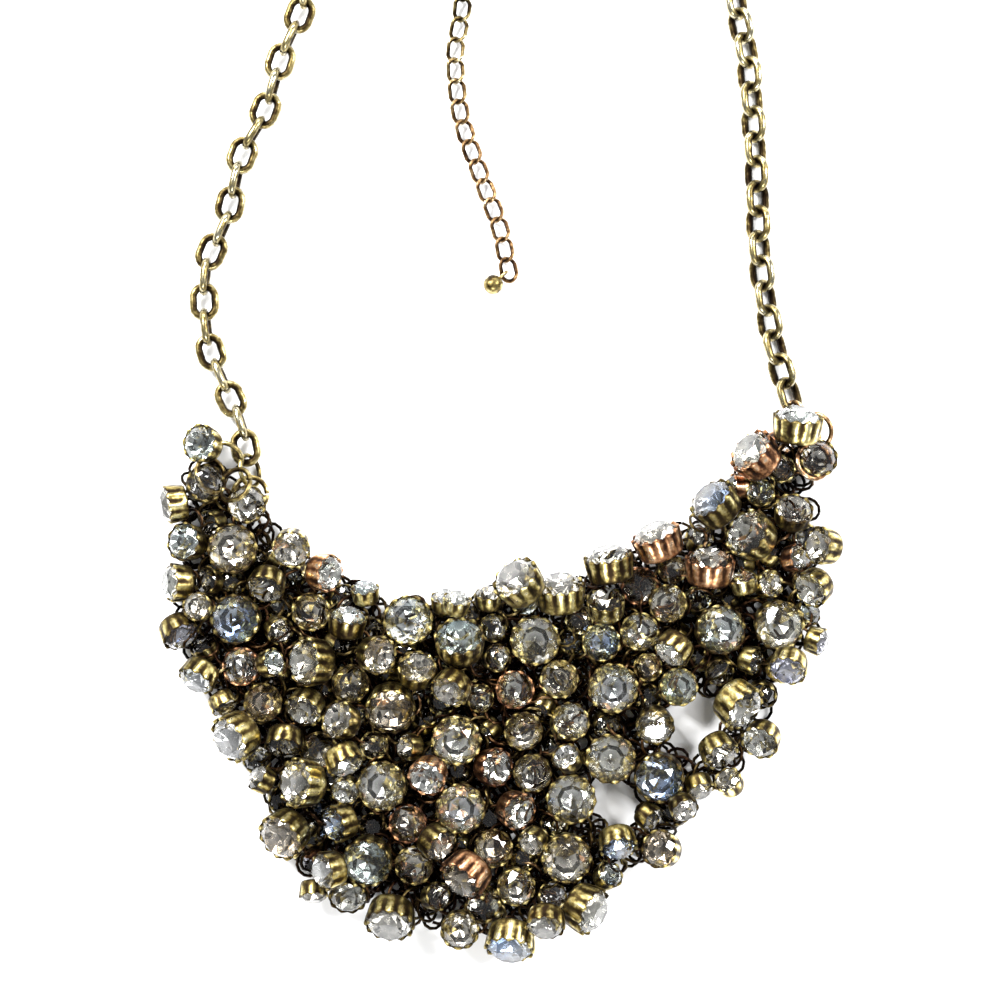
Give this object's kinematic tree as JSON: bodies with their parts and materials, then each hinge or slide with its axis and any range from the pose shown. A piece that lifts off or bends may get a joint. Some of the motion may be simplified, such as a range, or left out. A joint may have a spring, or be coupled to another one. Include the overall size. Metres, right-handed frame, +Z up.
{
  "type": "bib necklace",
  "caption": "Bib necklace of faceted crystals in fluted cups on a ring net, with oval cable chain, extender, ball drop and clasp, lying flat.",
  "frame": {"origin": "middle of the footprint, on the surface the necklace lies on", "axes": "+Y from the bib towards the clasp, +X to the viewer's right from above, +Z up from the surface"},
  "size_m": [0.1194, 0.2092, 0.0151],
  "materials": {
    "brass": "antique, polished on the edges",
    "dark_brass": "dark antique",
    "copper": "antique copper plate",
    "crystal": "faceted, foil backed"
  },
  "bodies": {
    "root": {"chain_left": "brass", "chain_right": "brass", "jump_ring_left": "brass", "jump_ring_right": "brass", "strand_01": "dark_brass", "strand_02": "dark_brass", "strand_03": "dark_brass", "strand_04": "dark_brass", "strand_05": "dark_brass", "strand_06": "dark_brass", "strand_07": "dark_brass", "strand_08": "dark_brass", "strand_09": "dark_brass", "strand_10": "dark_brass", "strand_11": "dark_brass", "strand_12": "dark_brass", "strand_13": "dark_brass", "strand_14": "dark_brass", "setting_01": "brass", "crystal_01": "crystal", "setting_02": "brass", "crystal_02": "crystal", "setting_03": "brass", "crystal_03": "crystal", "setting_04": "brass", "crystal_04": "crystal", "setting_05": "brass", "crystal_05": "crystal", "setting_06": "brass", "crystal_06": "crystal", "setting_07": "brass", "crystal_07": "crystal", "setting_08": "brass", "crystal_08": "crystal", "setting_09": "brass", "crystal_09": "crystal", "setting_10": "brass", "crystal_10": "crystal", "setting_11": "brass", "crystal_11": "crystal", "setting_12": "brass", "crystal_12": "crystal", "setting_13": "brass", "crystal_13": "crystal", "setting_14": "brass", "crystal_14": "crystal", "setting_15": "brass", "crystal_15": "crystal", "setting_16": "brass", "crystal_16": "crystal", "setting_17": "brass", "crystal_17": "crystal", "setting_18": "brass", "crystal_18": "crystal", "extender_chain": "copper", "end_ball": "brass", "clasp": "brass", "clasp_ring": "brass"}
  },
  "joints": []
}
